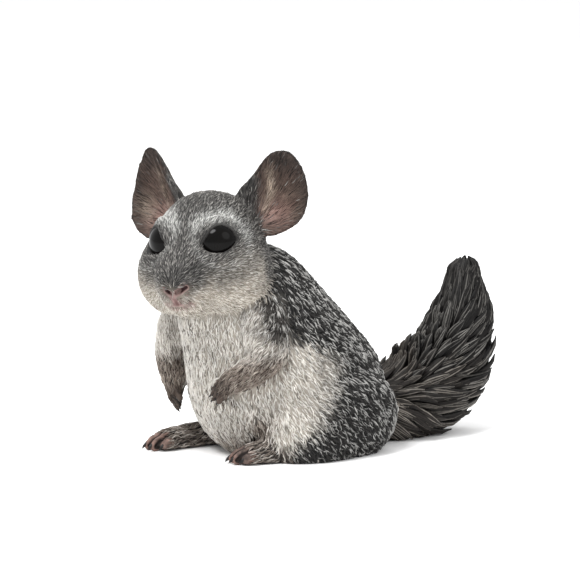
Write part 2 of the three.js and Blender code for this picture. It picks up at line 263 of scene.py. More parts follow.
def lidRing(side, grow, lift):
    count, sides = 72, 10
    out = eyeAxes(side)[2]
    edge = lidLine(side, count, grow, lift)
    ahead = unit(np.roll(edge, -1, axis=0) - np.roll(edge, 1, axis=0))
    first = unit(np.tile(out, (count, 1)) - ahead * (ahead @ out)[:, None])
    second = np.cross(ahead, first)
    rows = []
    for turn in np.linspace(0, 2 * pi, sides, endpoint=False):
        rows.append(edge + (first * cos(turn) + second * sin(turn) * 1.3) * eyePlan["lid"])
    places = np.stack(rows, axis=1).reshape(-1, 3)
    ring = meshObject("lid", places, wallFaces(count, sides, around=True))
    pointOutwards(ring)
    return ring


def editWhole(obj, operator, **settings):
    selectOnly(obj)
    bpy.ops.object.mode_set(mode="EDIT")
    bpy.ops.mesh.select_all(action="SELECT")
    operator(**settings)
    bpy.ops.object.mode_set(mode="OBJECT")


def pointOutwards(obj):
    editWhole(obj, bpy.ops.mesh.normals_make_consistent, inside=False)


# Skin: one moulded surface under all the fur, from the frame's own solids
skinPlan = {
    "parts": ["torso", "head", "ear_left", "ear_right", "arm_left", "arm_right", "hand_left", "hand_right",
              "thigh_left", "thigh_right", "foot_left", "foot_right"],
    "swell": 0.19,  # closes the gaps between the parts
    "voxel": 0.32,
    "smoothing": 5,
}


def copyOfPart(name):
    selectOnly(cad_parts[name])
    bpy.ops.object.duplicate()
    copy = bpy.context.view_layer.objects.active
    copy.parent = None
    copy.matrix_world = Matrix.Identity(4)
    editWhole(copy, bpy.ops.mesh.remove_doubles, threshold=1e-6)
    addModifier(copy, "DISPLACE", strength=skinPlan["swell"] * mm, mid_level=0.0, direction="NORMAL")
    return copy


def tailCore():
    sides, rings = 28, 60
    shares = np.linspace(0.0, 0.985, rings)
    turns = np.linspace(0, 2 * pi, sides, endpoint=False)
    rows = [onTail(np.full(sides, s), turns, tailLine["coreShare"]) for s in shares]
    places = np.concatenate(rows)
    ends = [list(range(sides)), [(rings - 1) * sides + j for j in reversed(range(sides))]]
    core = meshObject("tailCore", places, wallFaces(rings, sides) + ends)
    pointOutwards(core)
    return core


def subdivideNear(obj, centre, radius, cuts):
    near = np.linalg.norm(placesOf(obj) - centre, axis=1) < radius
    for items in (obj.data.polygons, obj.data.edges):
        items.foreach_set("select", [bool(near[list(item.vertices)].all()) for item in items])
    obj.data.vertices.foreach_set("select", near.tolist())
    selectOnly(obj)
    bpy.ops.object.mode_set(mode="EDIT")
    bpy.ops.mesh.select_mode(type="FACE")
    bpy.ops.mesh.subdivide(number_cuts=cuts, smoothness=0)
    bpy.ops.object.mode_set(mode="OBJECT")


def makeSkin():
    copies = [copyOfPart(name) for name in skinPlan["parts"]] + [tailCore()]
    for side in bothSides:
        copies += [lidRing(side, grow, lift) for grow, lift in eyePlan["lidRows"]]
    selectOnly(*copies)
    bpy.ops.object.join()
    made = bpy.context.view_layer.objects.active
    made.name = "skin"
    made.data.name = "skin"
    addModifier(made, "REMESH", mode="VOXEL", voxel_size=skinPlan["voxel"] * mm, adaptivity=0.0)
    addModifier(made, "SMOOTH", factor=0.5, iterations=skinPlan["smoothing"])
    places = placesOf(made)
    places[:, 2] = np.maximum(places[:, 2], floorGap)
    setPlaces(made, places)
    made.data.polygons.foreach_set("use_smooth", [True] * len(made.data.polygons))
    return made


skin = makeSkin()
say(f"skin of {len(skin.data.vertices)} points")

# Face: nostrils and lips are pressed into the skin
face = {
    "noseAt": (0.25, 11.9, -4.0),
    "nostril": [(0.55, 12.1, -4.55), (1.7, 11.4, -3.75)],
    "nostrilWidth": 0.28,
    "nostrilDepth": 0.75,
    "rim": (0.16, 0.75, 0.3),  # height, distance from the slit and width of the raised rim
    "lipSplit": [(0.1, 12.1, -4.9), (0.1, 10.9, -6.2)],
    "mouth": [(0.1, 10.9, -6.2), (1.7, 10.1, -5.95)],
    "lipWidth": 0.2,
    "lipDepth": 0.5,
}
noseAt = inHead(*face["noseAt"])
subdivideNear(skin, noseAt, 3.8, 2)
for eyeAt in (eyeLeftAt, eyeRightAt):
    subdivideNear(skin, eyeAt, 3.9, 1)


def distanceToLine(points, start, end):
    way = end - start
    t = np.clip((points - start) @ way / (way @ way), 0, 1)
    return np.linalg.norm(points - (start + t[:, None] * way), axis=1)


def distanceToLines(points, lines):
    return np.min([distanceToLine(points, *line) for line in lines], axis=0)


def pressLine(places, normals, start, end, width, depth):
    away = distanceToLine(places, start, end)
    return places - normals * (depth * np.exp(-((away / width) ** 2)))[:, None]


def nostrilLines():
    near, far = face["nostril"]
    middle = face["noseAt"][0]
    for side in (1, -1):
        yield inHead(middle + near[0] * side, *near[1:]), inHead(middle + far[0] * side, *far[1:])


def mouthLines():
    top, bottom = face["lipSplit"]
    yield inHead(*top), inHead(*bottom)
    inner, outer = face["mouth"]
    for side in (1, -1):
        yield inHead(*inner), inHead(outer[0] * side, outer[1], outer[2])


places = placesOf(skin)
normals = normalsOf(skin)
for start, end in nostrilLines():
    places = pressLine(places, normals, start, end, face["nostrilWidth"], face["nostrilDepth"])
    high, away, wide = face["rim"]
    rim = np.exp(-(((distanceToLine(places, start, end) - away) / wide) ** 2))
    places = places + normals * (high * rim)[:, None]
for start, end in mouthLines():
    places = pressLine(places, normals, start, end, face["lipWidth"], face["lipDepth"])
setPlaces(skin, places)
say("face pressed in")

# Feet and hands: toes and fingers parted by grooves, from the same places as the frame's
feet = {
    "left": {"heel": (10.7, -0.8), "ball": (8.2, -10.6)},
    "right": {"heel": (-8.5, -5.4), "ball": (-7.9, -16.3)},
    # each toe: how far aside, how long and how thick
    "toes": [(-1.55, 1.8, 0.72), (-0.5, 2.7, 0.88), (0.75, 2.5, 0.88), (1.7, 1.3, 0.62)],
    "grooveWidth": 0.22,
    "grooveDepth": 0.55,
}
hands = {
    "left": {"palm": (6.5, -14.3, 11.4), "reach": (-0.55, -0.62, -0.56), "over": (0.3, -0.75, 0.6)},
    "right": {"palm": (-6.5, -15.6, 8.8), "reach": (0.5, -0.2, -0.84), "over": (-0.3, -0.95, 0.1)},
    "fingers": [(-1.17, 1.7), (-0.39, 2.3), (0.39, 2.3), (1.17, 1.7)],  # aside, long
    "grooveWidth": 0.17,
    "grooveDepth": 0.42,
}


def footFrame(side):
    heel = np.array([*feet[side]["heel"], 0.0])
    ball = np.array([*feet[side]["ball"], 0.0])
    ahead = unit(ball - heel)
    across = np.array([-ahead[1], ahead[0], 0.0])
    return ball + bodyMiddle, ahead, across


def handFrame(side):
    ahead = unit(np.array(hands[side]["reach"]))
    over = np.array(hands[side]["over"])
    across = unit(np.cross(over, ahead))
    return np.array(hands[side]["palm"]) + bodyMiddle, ahead, across, unit(np.cross(ahead, across))


def grooveAt(points, base, ahead, across, ends, plan):
    # how deep a groove is that is seen from above the foot or the back of the hand
    local = points - base
    spot = np.stack([local @ ahead, local @ across], axis=1)
    start, end = (np.array(each, float) for each in ends)
    away = distanceToLine(spot, start, end)
    near = np.linalg.norm(local, axis=1) < 4.5
    share = np.exp(-((away / plan["grooveWidth"]) ** 2)) * near * ((spot - start) @ (end - start) > 0)
    return share * plan["grooveDepth"]


def allGrooves(points):
    deep = np.zeros(len(points))
    for side in bothSides:
        ball, ahead, across = footFrame(side)
        for (a, longA, thickA), (b, longB, thickB) in zip(feet["toes"], feet["toes"][1:]):
            between = (a + b) / 2 + (thickA - thickB) / 2
            ends = [(-0.9, between), (max(longA, longB) * 1.5, between * 1.2)]
            deep = np.maximum(deep, grooveAt(points, ball, ahead, across, ends, feet))
        palm, ahead, across, _ = handFrame(side)
        for (a, _), (b, _) in zip(hands["fingers"], hands["fingers"][1:]):
            ends = [(0.7, (a + b) / 2), (3.2, (a + b) / 2 * 1.35)]
            deep = np.maximum(deep, grooveAt(points, palm, ahead, across, ends, hands))
    return deep


for side in bothSides:
    ball, ahead, _ = footFrame(side)
    subdivideNear(skin, ball + ahead * 1.2 + np.array([0, 0, 1.2]), 3.2, 1)
places, normals = placesOf(skin), normalsOf(skin)
grooves = allGrooves(places)
places = places - normals * grooves[:, None]
places[:, 2] = np.maximum(places[:, 2], floorGap)
setPlaces(skin, places)
say(f"toes and fingers parted, skin of {len(trianglesOf(skin))} triangles")

# Ears: a fold stands up inside each cup
earPlan = {
    "root": (6.3, -2.0, 5.4),
    "turn": radians(20),
    "tall": {"left": 1.0, "right": 1.12},
    "fold": [(2.1, 0.2), (3.2, 3.0), (3.1, 6.6)],  # outwards and up from the root
    "foldHigh": 0.34,
    "foldWide": 0.5,
}


def earPlaces(points, side):
    # outwards and up in the ear's own plane
    hand = 1 if side == "left" else -1
    s, f, u = headPlaces(points).T
    x, y = s * hand - earPlan["root"][0], -(f - earPlan["root"][1])
    turn = earPlan["turn"]
    high = (u - earPlan["root"][2]) / earPlan["tall"][side]
    return x * cos(turn) + y * sin(turn), high


def earFacing(directions, side):
    hand = 1 if side == "left" else -1
    s, f = directions @ headSide * hand, directions @ headFront
    return s * sin(earPlan["turn"]) + f * cos(earPlan["turn"])


def foldAt(out, high):
    # how near a point of the ear is to the fold, 1 on it
    best = np.zeros(len(out))
    line = np.array(earPlan["fold"])
    spot = np.stack([out, high], axis=1)
    for start, end in zip(line, line[1:]):
        away = distanceToLine(spot, start, end)
        best = np.maximum(best, np.exp(-((away / earPlan["foldWide"]) ** 2)))
    return best


# Which part of the body each point of the skin belongs to
partNames = skinPlan["parts"] + ["tail"]


def scatter(corners, spacing, share, draw):
    # random points on triangles, the share being how many there are for each square of the spacing
    a, b, c = corners[:, 0], corners[:, 1], corners[:, 2]
    area = np.linalg.norm(np.cross(b - a, c - a), axis=1) / 2
    count = max(60, int(area.sum() / spacing**2 * share))
    k = draw.choice(len(corners), count, p=area / area.sum())
    u, v = np.sqrt(draw.random(count)), draw.random(count)
    return a[k] * (1 - u)[:, None] + b[k] * (u * (1 - v))[:, None] + c[k] * (u * v)[:, None]


def samplesOf(name):
    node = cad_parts[name]
    return scatter(placesOf(node)[trianglesOf(node)], 0.45, 1, rng)


def treeOf(points):
    tree = kdtree.KDTree(len(points))
    for i, point in enumerate(points):
        tree.insert(point, i)
    tree.balance()
    return tree


def partOf(points):
    samples = [samplesOf(name) for name in skinPlan["parts"]]
    shares = np.repeat(np.linspace(0.05, 1, 60), 20)
    turns = np.tile(np.linspace(0, 2 * pi, 20, endpoint=False), 60)
    samples.append(onTail(shares, turns, tailLine["coreShare"]))
    labels = np.repeat(np.arange(len(samples)), [len(each) for each in samples])
    tree = treeOf(np.concatenate(samples))
    return labels[[tree.find(point)[1] for point in points]]


places, normals = placesOf(skin), normalsOf(skin)
parts = partOf(places)


def isPart(*names):
    return np.isin(parts, [partNames.index(name) for name in names])


for side in bothSides:
    out, high = earPlaces(places, side)
    inner = isPart(f"ear_{side}") * smoothStep(0.2, 0.7, earFacing(normals, side))
    places = places + normals * (earPlan["foldHigh"] * foldAt(out, high) * inner)[:, None]
setPlaces(skin, places)
normals = normalsOf(skin)


# The lie of the coat: which way the fur runs at each point of the skin
def lieOfCoat():
    lie = np.tile([0.0, 0.0, -1.0], (len(places), 1))

    def lay(ways, *names):
        chosen = isPart(*names)
        lie[chosen] = np.broadcast_to(ways, lie.shape)[chosen]

    backwards = smoothStep(-15, 2, (places - bodyMiddle)[:, 1])
    ways = np.stack([0 * backwards, 0.72 * backwards + 0.05, -0.75 - 0.1 * backwards], axis=1)
    lay(ways, "torso", "thigh_left", "thigh_right")
    sinking = np.array([0, 0, -0.25]) * smoothStep(2, -5, headPlaces(places)[:, 2])[:, None]
    lay(unit(places - (noseAt + headFront * 1.0)) + sinking, "head")
    for side in bothSides:
        wrist = centreOf(f"hand_{side}") - np.array([0, 0, 1.5])
        lay(unit(wrist - places), f"arm_{side}")
        lay(handFrame(side)[1], f"hand_{side}")
        lay(footFrame(side)[1] + np.array([0.0, 0.0, -0.2]), f"foot_{side}")
        root = inHead(7.0 if side == "left" else -7.0, -2, 4.0)
        lay(unit(places - root), f"ear_{side}")
    lay([0.0, 0.8, 0.6], "tail")
    return lie


def neighboursMean(values, edges, rounds):
    # each value drawn towards the mean of its neighbours, a few times over
    count = np.maximum(np.bincount(edges.ravel(), minlength=len(values)).astype(float), 1)[:, None]
    for _ in range(rounds):
        total = np.zeros_like(values)
        np.add.at(total, edges[:, 0], values[edges[:, 1]])
        np.add.at(total, edges[:, 1], values[edges[:, 0]])
        values = 0.4 * values + 0.6 * total / count
    return values


skinEdges = readAll(skin.data.edges, "vertices", 2, np.int32)
lie = alongSurface(neighboursMean(alongSurface(lieOfCoat(), normals), skinEdges, 12), normals)
say("lie of the coat set")


# Paint: three coats of colour for each point, laid on by zones
def linear(*colour):
    share = np.array(colour, float) / 255
    return np.where(share <= 0.04045, share / 12.92, ((share + 0.055) / 1.055) ** 2.4)


# The wash that lies in the grooves, the paint on the ridges, the lighter brushing on some of them
paints = {
    "backCoat": ((11, 11, 11), (52, 51, 50), (184, 183, 180)),
    "bellyCoat": ((148, 142, 133), (204, 200, 193), (226, 223, 218)),
    "armCoat": ((58, 49, 44), (132, 121, 112), (178, 169, 158)),
    "handSkin": ((26, 22, 20), (72, 61, 54), (104, 92, 84)),
    "footCoat": ((42, 37, 34), (122, 113, 105), (196, 189, 181)),
    "toeSkin": ((30, 22, 21), (130, 102, 93), (166, 138, 128)),
    "faceGrey": ((36, 35, 34), (92, 90, 88), (158, 155, 150)),
    "brow": ((98, 98, 96), (194, 194, 190), (218, 218, 215)),
    "cheek": ((136, 128, 117), (196, 190, 180), (222, 218, 210)),
    "nose": ((66, 48, 46), (136, 112, 107), (150, 126, 121)),
    "lip": ((70, 46, 46), (140, 108, 106), (158, 128, 124)),
    "nostril": ((22, 8, 9), (40, 16, 18), (40, 16, 18)),
    "lidEdge": ((10, 9, 9), (20, 18, 17), (30, 28, 27)),
    "earBrown": ((34, 27, 24), (77, 62, 55), (106, 90, 82)),
    "earPink": ((76, 57, 52), (136, 109, 101), (172, 146, 137)),
    "earCream": ((96, 80, 68), (176, 160, 144), (206, 194, 180)),
    "earDark": ((24, 20, 19), (54, 45, 41), (78, 68, 62)),
    "tailBlack": ((6, 6, 6), (26, 24, 23), (146, 143, 138)),
    "tailBrown": ((13, 11, 10), (46, 41, 37), (152, 145, 136)),
}
names = list(paints)
palette = np.array([[linear(*coat) for coat in paints[name]] for name in names])

# Where the zones begin and end, in millimetres over the floor or from the middle of body or head
zones = {
    "heights": [0, 3, 5, 10, 14, 16.3, 18, 20, 24, 32],
    "paleUpTo": [-9, -6, -3.5, -0.6, 0.9, 0.2, -5.5, -9, -10, -11],  # how far back the belly's paint comes
    "paleBlend": (-2.6, 2.8),
    "armShift": 2.6,  # by this much the near arm keeps the back's paint further forward
    "groinAt": (8.6, -9.4, 5.5),  # the darker patch between belly and thigh
    "groinSize": (1.8, 2.2, 2.6),
    "underHeights": (6.0, 1.8),  # the darker strokes under the belly
    "underFront": (-4, -9),
    "armHeights": (14.5, 18.5),
    "wrist": (1.0, 3.4),
    "soleReach": (3.3, 2.3),  # the foot's paint goes on under the thigh
    "soleHeight": 1.2,
    "cheekFronts": [4, 8.5, 11],
    "cheekTops": [1.6, -1.0, -2.9],  # where the cheek has gone over to grey
    "chin": -5.9,
    "browRadius": 3.6,
    "lidWidth": (0.45, 0.22),
    "lipWidth": (1.0, 0.25),
    "padWidth": (0.75, 0.4),
    "slitWidth": (0.4, 0.27),
    "earTop": (4.5, 8.0),
    "earEdge": (5.2, 7.4),
    "earFront": (1.9, 0.6),
    "earPinkAt": (3.6, 0.1),
    "earPinkSize": (2.2, 1.7),
    "earStreakAt": (6.2, 0.8),
    "earStreakSize": (1.3, 1.5),
}


def layOn(mix, name, share):
    # one zone over the ones before it
    mix *= (1 - share)[:, None]
    mix[:, names.index(name)] += share


def bell(distances, sizes):
    # 1 at no distance, falling off over the sizes
    return np.exp(-sum((away / size) ** 2 for away, size in zip(distances, sizes)))


def onPart(*wanted):
    return isPart(*wanted).astype(float)


def paintBody(mix, spots):
    x, y, z, coarse, fine = spots.x, spots.y, spots.z, spots.coarse, spots.fine
    arms = onPart("arm_left", "arm_right")
    past = y - np.interp(z, zones["heights"], zones["paleUpTo"]) + arms * (x > 0) * zones["armShift"]
    layOn(mix, "bellyCoat", 1 - smoothStep(*zones["paleBlend"], past + coarse * 1.3 + fine * 1.2))
    gx, gy, gz = zones["groinAt"]
    groin = bell((np.abs(x) - gx, y - gy, z - gz), zones["groinSize"])
    layOn(mix, "armCoat", np.clip(groin * 0.9 * (1 + fine * 0.6), 0, 1))
    under = smoothStep(*zones["underHeights"], z) * smoothStep(*zones["underFront"], y)
    layOn(mix, "armCoat", under * onPart("torso") * np.clip(0.55 + 0.5 * fine, 0, 0.9))
    # arms: like the flank above, taupe below
    low = 1 - smoothStep(*zones["armHeights"], z + coarse + np.where(x < 0, 2.0, 0))
    layOn(mix, "armCoat", arms * np.clip(low + 0.12, 0, 1))
    layOn(mix, "handSkin", onPart("hand_left", "hand_right"))
    for side in bothSides:
        palm = handFrame(side)[0]
        wrist = 1 - smoothStep(*zones["wrist"], np.linalg.norm(places - palm, axis=1))
        layOn(mix, "handSkin", arms * wrist * 0.8)


def paintFeet(mix, spots):
    coarse, fine = spots.coarse, spots.fine
    layOn(mix, "footCoat", onPart("foot_left", "foot_right"))
    for side in bothSides:
        ball, ahead, _ = footFrame(side)
        heel = np.array([*feet[side]["heel"], 0.0]) + bodyMiddle
        lift = np.array([0, 0, zones["soleHeight"]])
        away = distanceToLine(places, ball + lift, heel + lift)
        sole = smoothStep(*zones["soleReach"], away + coarse * 0.4)
        layOn(mix, "footCoat", sole * onPart(f"thigh_{side}", "torso"))
        toes = smoothStep(-0.5, 0.5, (places - ball) @ ahead + fine * 0.3)
        toes = onPart(f"foot_{side}") * toes * (0.8 + 0.25 * fine).clip(0.3, 1)
        layOn(mix, "toeSkin", toes)


def paintHead(mix, spots):
    # grey above, pale below, white brows
    head, fine, front, up = onPart("head"), spots.fine, spots.front, spots.up
    layOn(mix, "faceGrey", head)
    greyFrom = np.interp(front, zones["cheekFronts"], zones["cheekTops"])
    cheek = 1 - smoothStep(zones["chin"], greyFrom, up + 0.15 * (front - 9) + fine * 0.8)
    behind = smoothStep(3.0, 0.2, front + up * 0.15) * smoothStep(-6.5, -3, up)
    layOn(mix, "cheek", head * np.clip(cheek * (1 - behind), 0, 1))
    for side in bothSides:
        middle, back, out, _ = eyeAxes(side)
        u, v, w = ((places - middle) @ axis for axis in (back, headUp, out))
        above = smoothStep(-1.5, 2.5, v + 0.25 * u)
        away = np.hypot(u * 0.9, v) - zones["browRadius"] + fine * 0.12
        ring = np.exp(-((away / (0.32 + 0.45 * above)) ** 2)) * (w > -2.5)
        layOn(mix, "brow", head * ring * (0.35 + 0.6 * above))
        rim = np.min([np.linalg.norm(places - p, axis=1) for p in lidLine(side, 40, grow=0.1)], axis=0)
        layOn(mix, "lidEdge", head * smoothStep(*zones["lidWidth"], rim))
    pad = distanceToLines(places, nostrilLines())
    lips = distanceToLines(places, mouthLines())
    layOn(mix, "lip", smoothStep(*zones["lipWidth"], lips) * 0.9)
    layOn(mix, "nose", smoothStep(*zones["padWidth"], pad))
    layOn(mix, "nostril", smoothStep(*zones["slitWidth"], pad))


def paintEars(mix, spots):
    # dark brown at the top and rim, pink at the root, a cream fold
    coarse, fine = spots.coarse, spots.fine
    for side in bothSides:
        ear = onPart(f"ear_{side}")
        out, high = earPlaces(places, side)
        facing = earFacing(normals, side)
        inner = ear * smoothStep(0.0, 0.35, facing)
        layOn(mix, "faceGrey", ear)
        layOn(mix, "earBrown", inner)
        layOn(mix, "earDark", inner * smoothStep(*zones["earTop"], high + coarse * 0.5))
        layOn(mix, "earDark", inner * smoothStep(*zones["earEdge"], out + fine * 0.3) * 0.7)
        front = smoothStep(*zones["earFront"], out + fine * 0.3) * smoothStep(7, 5, high)
        layOn(mix, "faceGrey", inner * front)
        a, b = zones["earPinkAt"]
        layOn(mix, "earPink", inner * bell((out - a, high - b + 0.1 * out), zones["earPinkSize"]))
        fold = foldAt(out, high) * smoothStep(7.2, 4.5, high) * (0.9 if side == "left" else 0.3)
        layOn(mix, "earCream", inner * fold * (0.75 + 0.25 * fine).clip(0, 1))
        a, b = zones["earStreakAt"]
        streak = bell((out - a, high - b), zones["earStreakSize"])
        layOn(mix, "earCream", inner * streak * (0.35 + 0.3 * fine).clip(0, 0.6))
        layOn(mix, "earDark", ear * np.exp(-((facing / 0.4) ** 2)) * 0.75)


def paintMix():
    # the share of each paint at each point of the skin
    spots = SimpleNamespace()
    spots.x, spots.y, spots.z = (places - bodyMiddle).T
    _, spots.front, spots.up = headPlaces(places).T
    spots.coarse, spots.fine = noiseAt(places, 3.2, 5), noiseAt(places, 1.1, 9)
    mix = np.zeros((len(places), len(names)))
    mix[:, names.index("backCoat")] = 1
    for layer in (paintBody, paintFeet, paintHead, paintEars):
        layer(mix, spots)
    layOn(mix, "tailBlack", onPart("tail"))
    return mix


# An unwrap of the skin's own shape, for baking its paint
editWhole(skin, bpy.ops.uv.smart_project, angle_limit=radians(66), island_margin=0.002)
skin.data.uv_layers[0].name = "OFBake"
skinUv = np.zeros((len(skin.data.vertices), 2))
skinUv[cornersOf(skin)] = readAll(skin.data.uv_layers[0].data, "uv", 2)
say("skin unwrapped")


def setPaint(obj, wash, top, level, tone):
    # wash and paint as two colours, with the height above the groove and a number for each stroke
    for name, colour, extra in (("wash", wash, tone), ("paint", top, level)):
        layer = obj.data.attributes.new(name, "FLOAT_COLOR", "POINT")
        four = np.concatenate([colour, extra[:, None]], axis=1)
        layer.data.foreach_set("color", four.astype(np.float32).ravel())


skinMix = paintMix()
skinCoats = np.einsum("pn,nkc->pkc", skinMix, palette)
bareNames = ["handSkin", "toeSkin", "nose", "lip", "nostril", "lidEdge", "earBrown", "earPink",
             "earCream", "earDark"]
bare = skinMix[:, [names.index(name) for name in bareNames]].sum(axis=1)
pressed = smoothStep(0.08, 0.3, grooves)
level = np.clip(bare * 0.85, 0.12, 1) * (1 - pressed)
setPaint(skin, skinCoats[:, 0], skinCoats[:, 1], level, np.full(len(places), 0.5))
say("skin painted")

# Strokes: each one a low tapered ridge that follows the skin, its edges sunk into it
skinTree = treeOf(places)


def nearestOnSkin(points):
    return np.array([skinTree.find(point)[1] for point in points])


def rootsOnSkin(mask, spacing, seed):
    # points spread evenly over the skin: at most one in each small cube
    triangles = trianglesOf(skin)
    triangles = triangles[mask[triangles].all(axis=1)]
    points = scatter(places[triangles], spacing, 4, np.random.default_rng(seed))
    cells = np.floor(points / spacing).astype(int)
    _, first = np.unique(cells, axis=0, return_index=True)
    return points[np.sort(first)]


def prismFaces(count, stations, sides):
    # closed tubes of the same make, side by side
    pattern = [[a, d, c, b] for a, b, c, d in wallFaces(stations, sides)]
    ends = [list(range(sides))[::-1], [(stations - 1) * sides + j for j in range(sides)]]
    shift = (np.arange(count) * stations * sides)[:, None, None]
    walls = (np.array(pattern)[None] + shift).reshape(-1, 4).tolist()
    return walls + (np.array(ends)[None] + shift).reshape(-1, sides).tolist()


def paintedTubes(name, rings, stations, lowest, wash, tops, levels, tone, spots):
    # rings, tops, levels and spots are lists with one entry for each corner of each station
    each = len(rings)
    rows = np.stack(rings, axis=1).reshape(-1, 3)
    rows[:, 2] = np.maximum(rows[:, 2], lowest)
    obj = meshObject(name, rows, prismFaces(len(wash), stations, each // stations))
    setPaint(obj, np.repeat(wash, each, axis=0), np.stack(tops, axis=1).reshape(-1, 3),
             np.stack(levels, axis=1).ravel(), np.repeat(tone, each))
    layer = obj.data.uv_layers.new(name="OFBake")
    uvs = np.stack(spots, axis=1).reshape(-1, 2)
    layer.data.foreach_set("uv", uvs[cornersOf(obj)].astype(np.float32).ravel())
    return obj


def strokeMesh(name, roots, plan, seed):
    draw = np.random.default_rng(seed)
    count, stations = len(roots), strokeShape["stations"]
    size = draw.uniform(0.7, 1.3, count)
    length = plan["length"] * size
    width = plan["width"] * size * draw.uniform(0.75, 1.3, count)
    height = plan["height"] * size * draw.uniform(0.6, 1.35, count)
    swing = draw.normal(0, plan["swing"], count)
    bend = draw.normal(0, plan["bend"], count)
    phase = draw.uniform(0, 2 * pi, count)
    point = roots.copy()
    nearest = nearestOnSkin(point)
    source = nearestOnSkin(point + draw.normal(0, plan["blur"], (count, 3)))
    uvs = skinUv[nearest]
    tone = draw.random(count)
    wash = skinCoats[source, 0]
    brushed = (tone < plan["brushed"]) * draw.uniform(0.5, 1.0, count)
    top = skinCoats[source, 1] + (skinCoats[source, 2] - skinCoats[source, 1]) * brushed[:, None]
    top = top * draw.uniform(0.82, 1.18, count)[:, None]
    flecks = draw.random(count) < plan["flecks"]
    top[flecks] = wash[flecks] * 0.45
    rings, levels, spots = [], [], []
    # station by station along the skin, each one a groove, a ridge and a groove
    for k in range(stations):
        share = k / (stations - 1)
        normal, flow = normals[nearest], lie[nearest]
        across = np.cross(normal, flow)
        turn = swing + bend * np.sin(phase + share * 5.0)
        heading = unit(flow * np.cos(turn)[:, None] + across * np.sin(turn)[:, None])
        beside = unit(np.cross(normal, heading))
        point = point - normal * np.sum((point - places[nearest]) * normal, axis=1, keepdims=True)
        taper = np.interp(share, [0, 0.25, 0.6, 1], strokeShape["taper"])
        rise = np.interp(share, [0, 0.25, 0.7, 1], strokeShape["rise"])
        half = (width * taper / 2)[:, None]
        rings += [point + beside * half - normal * plan["sink"],
                  point + normal * (height * rise)[:, None],
                  point - beside * half - normal * plan["sink"]]
        peak = np.full(count, np.interp(share, [0, 0.3, 1], [0.3, 1.0, 0.95]))
        levels += [np.zeros(count), peak, np.zeros(count)]
        spots += [uvs + np.array([(share - 0.5) * patch, side * patch / 2]) for side in (1, 0, -1)]
        if k < stations - 1:
            point = point + heading * (length / (stations - 1))[:, None]
            nearest = nearestOnSkin(point)
    return paintedTubes(name, rings, stations, floorGap, wash, [top] * len(rings), levels, tone, spots)


strokeShape = {"stations": 4, "taper": [0.45, 1.0, 0.9, 0.15], "rise": [0.0, 0.8, 1.0, 0.55]}
strokeValues = ["length", "width", "height", "sink", "bend", "swing", "blur", "brushed", "flecks", "spacing"]
coatPlans = {
    "coatBack": [1.35, 0.27, 0.24, 0.05, 0.5, 0.22, 0.6, 0.4, 0.0, 0.41],
    "coatFront": [1.25, 0.3, 0.17, 0.05, 0.4, 0.22, 0.6, 0.35, 0.08, 0.42],
    "coatFace": [0.8, 0.19, 0.09, 0.03, 0.25, 0.15, 0.3, 0.3, 0.03, 0.275],
    "coatNape": [1.0, 0.24, 0.15, 0.04, 0.3, 0.18, 0.3, 0.3, 0.0, 0.32],
    "coatLimbs": [1.15, 0.25, 0.16, 0.04, 0.35, 0.2, 0.3, 0.3, 0.04, 0.33],
    "coatEars": [1.2, 0.15, 0.055, 0.02, 0.12, 0.1, 0.3, 0.2, 0.2, 0.34],
}

local = places - bodyMiddle
torsoMask = isPart("torso", "thigh_left", "thigh_right") & (places[:, 2] > 0.3)
bareNose = distanceToLines(places, nostrilLines()) < 0.55
bareNose |= distanceToLines(places, mouthLines()) < 0.45
bareEye, bareLimb = np.zeros(len(places), bool), np.zeros(len(places), bool)
for side in bothSides:
    middle, _, out, _ = eyeAxes(side)
    for edge in lidLine(side, 60):
        bareEye |= np.linalg.norm(places - edge, axis=1) < 0.5
    bareEye |= np.linalg.norm(places - middle - out * 0.9, axis=1) < 2.1
    ball, ahead, _ = footFrame(side)
    bareLimb |= isPart(f"foot_{side}") & ((places - ball) @ ahead > 0.1)
    palm, ahead = handFrame(side)[:2]
    bareLimb |= isPart(f"hand_{side}") & ((places - palm) @ ahead > 0.4)
limbs = isPart("arm_left", "arm_right", "foot_left", "foot_right", "hand_left", "hand_right")
masks = {
    "coatBack": torsoMask & (local[:, 1] > -2.5),
    "coatFront": torsoMask & (local[:, 1] < -2.2),
    "coatFace": isPart("head") & ~bareNose & ~bareEye & (headPlaces(places)[:, 1] > 0.5),
    "coatNape": isPart("head") & (headPlaces(places)[:, 1] < 0.8),
    "coatLimbs": limbs & ~bareLimb & (places[:, 2] > 0.4),
    "coatEars": isPart("ear_left", "ear_right"),
}
coats = []
for k, (name, row) in enumerate(coatPlans.items()):
    plan = dict(zip(strokeValues, row))
    coat = strokeMesh(name, rootsOnSkin(masks[name], plan["spacing"], 31 + k), plan, 61 + k)
    coats.append(coat)
    say(f"{name} of {len(trianglesOf(coat))} triangles")

# Tail: long ridged locks that fan out from the core to the edge of the brush
tailLocks = {
    "rows": 34,
    "around": 24,
    "stations": 7,
    "starts": (-0.02, 0.96),  # roots, ends and runs are shares of the tail's length
    "furthest": 1.08,
    "run": 0.19,
    "width": 1.25,
    "thick": 0.496,
    "reach": (0.52, 0.86, 1.04),  # at the root, and the least and the most at the tip
    "parting": [0.0, 1.9, 2.9, pi],  # turns over which the sweep changes
    "towards": [-1.0, -0.9, 0.2, 0.4],  # to the outer side below 0, to the inner side above it
    "lit": 0.5,  # share of the ridges that are brushed
    "taper": [0.55, 1.0, 0.95, 0.6, 0.16],
    "profile": [(-1.0, -0.6), (-0.78, 0.5), (-0.55, 0.2), (-0.3, 0.95), (-0.05, 0.45), (0.22, 1.1),
                (0.5, 0.35), (0.75, 0.6), (1.0, -0.6)],  # across and height, over the lock's section
    "peaks": [0, 0.7, 0.1, 1, 0.25, 1, 0.2, 0.8, 0],  # how much of the ridge's paint each point takes
    "lowest": 0.03,
}


